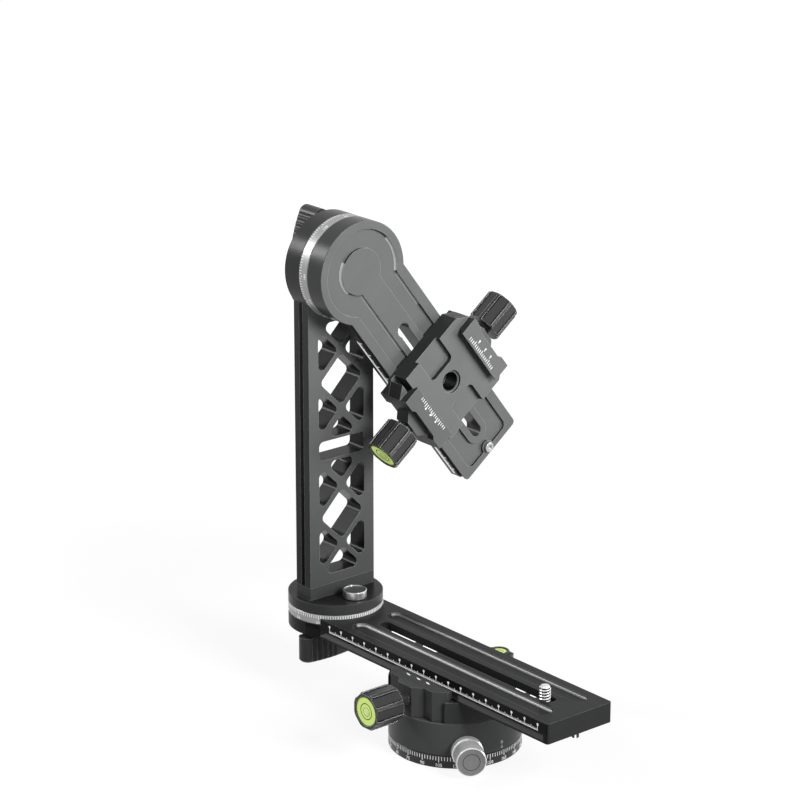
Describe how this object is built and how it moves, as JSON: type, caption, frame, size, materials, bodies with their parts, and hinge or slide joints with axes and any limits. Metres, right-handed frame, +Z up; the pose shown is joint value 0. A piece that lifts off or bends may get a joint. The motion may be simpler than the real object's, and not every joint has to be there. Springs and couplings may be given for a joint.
{
  "type": "panoramic tripod head",
  "caption": "Panoramic gimbal head: an indexed rotator and clamp carry a sliding rail, an upright lattice arm on a turntable, and a swing arm with a sliding camera clamp.",
  "frame": {"origin": "on the pan axis, in the underside that rests on the tripod, at the mouth of the 3/8 inch thread", "axes": "+Z up along the pan axis, +X along the lower rail to its free end; the upright arm stands at the -X end and the lower clamp knob points to -Y"},
  "size_m": [0.2284, 0.1733, 0.2755],
  "materials": {
    "anodised_black": "satin black anodised",
    "anodised_silver": "fine turned, clear anodised",
    "plain_steel": "plain machined",
    "black_steel": "blackened",
    "brass": "plain machined",
    "black_nylon": "moulded",
    "white_nylon": "moulded",
    "level_lime": "clear, filled with lime liquid"
  },
  "bodies": {
    "base": {"base_ring": "anodised_black", "tripod_bush": "plain_steel", "pan_spindle": "plain_steel", "thrust_washer": "white_nylon", "pan_retainer": "plain_steel"},
    "rotor": {"rotor_body": "anodised_black", "rotor_bush": "brass", "lock_collar": "anodised_silver", "brake_pad": "brass", "lower_clamp_body": "anodised_black", "clamp_mount_screws": "black_steel", "rear_level_cup": "anodised_black", "rear_level_vial": "level_lime"},
    "lock": {"lock_knob": "anodised_silver"},
    "lower_jaw": {"lower_jaw": "anodised_black", "lower_guide_pins": "plain_steel"},
    "lower_knob": {"lower_clamp_knob": "anodised_black", "lower_clamp_screw": "plain_steel", "lower_screw_clip": "plain_steel", "lower_knob_level": "level_lime"},
    "rail": {"rail": "anodised_black", "rail_stop_screw": "plain_steel", "turntable_ring": "anodised_silver", "turntable_slip_ring": "white_nylon", "turntable_washer": "black_nylon"},
    "stud": {"slot_stud": "plain_steel"},
    "turntable_lock": {"turntable_knob": "anodised_black", "turntable_nut": "plain_steel"},
    "arm": {"turntable_disc": "anodised_black", "turntable_spindle": "plain_steel", "vertical_arm": "anodised_black", "arm_screws": "black_steel", "tilt_ring": "anodised_silver", "tilt_slip_ring": "white_nylon", "tilt_washer": "black_nylon"},
    "button": {"release_button": "anodised_silver", "button_spring": "plain_steel"},
    "swing": {"swing_arm": "anodised_black", "tilt_spindle": "plain_steel", "arm_stop_screw": "plain_steel"},
    "tilt_lock": {"tilt_knob": "anodised_black", "tilt_nut": "plain_steel"},
    "clamp": {"camera_clamp_body": "anodised_black", "camera_thread_bush": "anodised_black"},
    "camera_jaw": {"camera_jaw": "anodised_black", "camera_jaw_pins": "plain_steel"},
    "camera_knob": {"camera_knob": "anodised_black", "camera_clamp_screw": "plain_steel", "camera_screw_clip": "plain_steel", "camera_knob_level": "level_lime"},
    "arm_jaw": {"arm_jaw": "anodised_black", "arm_jaw_pins": "plain_steel"},
    "arm_knob": {"arm_knob": "anodised_black", "arm_clamp_screw": "plain_steel", "arm_screw_clip": "plain_steel", "arm_knob_cap": "black_nylon"}
  },
  "joints": [
    {"name": "pan", "type": "hinge", "parent": "base", "child": "rotor", "pos_m": [0, 0, 0.0072], "axis": [0, 0, 1], "continuous": true},
    {"name": "pan_lock_turn", "type": "hinge", "parent": "rotor", "child": "lock", "pos_m": [0, 0, 0.0108], "axis": [0.8526, -0.5225, 0], "range_deg": [0, 300]},
    {"name": "lower_jaw_slide", "type": "slide", "parent": "rotor", "child": "lower_jaw", "axis": [0, -1, 0], "range_m": [0, 0.004]},
    {"name": "lower_knob_turn", "type": "hinge", "parent": "lower_jaw", "child": "lower_knob", "pos_m": [0, -0.0359, 0.035], "axis": [0, -1, 0], "range_deg": [0, 720]},
    {"name": "rail_slide", "type": "slide", "parent": "rotor", "child": "rail", "axis": [1, 0, 0], "range_m": [-0.055, 0.038]},
    {"name": "stud_slide", "type": "slide", "parent": "rail", "child": "stud", "axis": [1, 0, 0], "range_m": [-0.128, 0.002]},
    {"name": "turntable_turn", "type": "hinge", "parent": "rail", "child": "arm", "pos_m": [-0.1025, 0, 0.0516], "axis": [0, 0, 1], "continuous": true},
    {"name": "turntable_knob_turn", "type": "hinge", "parent": "arm", "child": "turntable_lock", "pos_m": [-0.1025, 0, 0.037], "axis": [0, 0, -1], "range_deg": [0, 360]},
    {"name": "button_lift", "type": "slide", "parent": "arm", "child": "button", "axis": [0, 0, 1], "range_m": [0, 0.003], "stiffness_N_per_m": 400, "springref_m": -0.002},
    {"name": "tilt", "type": "hinge", "parent": "arm", "child": "swing", "pos_m": [-0.0893, 0, 0.2467], "axis": [1, 0, 0], "continuous": true},
    {"name": "tilt_knob_turn", "type": "hinge", "parent": "swing", "child": "tilt_lock", "pos_m": [-0.1099, 0, 0.2467], "axis": [-1, 0, 0], "range_deg": [0, 360]},
    {"name": "clamp_slide", "type": "slide", "parent": "swing", "child": "clamp", "axis": [0, 0.6074, -0.7944], "range_m": [-0.035, 0.03]},
    {"name": "camera_jaw_slide", "type": "slide", "parent": "clamp", "child": "camera_jaw", "axis": [0, 0.7944, 0.6074], "range_m": [0, 0.003]},
    {"name": "camera_knob_turn", "type": "hinge", "parent": "camera_jaw", "child": "camera_knob", "pos_m": [-0.0709, 0.05299, 0.17739], "axis": [0, 0.7944, 0.6074], "range_deg": [0, 540]},
    {"name": "arm_jaw_slide", "type": "slide", "parent": "clamp", "child": "arm_jaw", "axis": [0, 0.7944, 0.6074], "range_m": [0, 0.004]},
    {"name": "arm_knob_turn", "type": "hinge", "parent": "arm_jaw", "child": "arm_knob", "pos_m": [-0.0739, 0.05299, 0.17739], "axis": [0, 0.7944, 0.6074], "range_deg": [0, 720]}
  ],
  "couplings": [
    {"joint": "lower_knob_turn", "follows": "lower_jaw_slide", "rad_per_m": 3141},
    {"joint": "camera_knob_turn", "follows": "camera_jaw_slide", "rad_per_m": 3141},
    {"joint": "arm_knob_turn", "follows": "arm_jaw_slide", "rad_per_m": 3141}
  ]
}
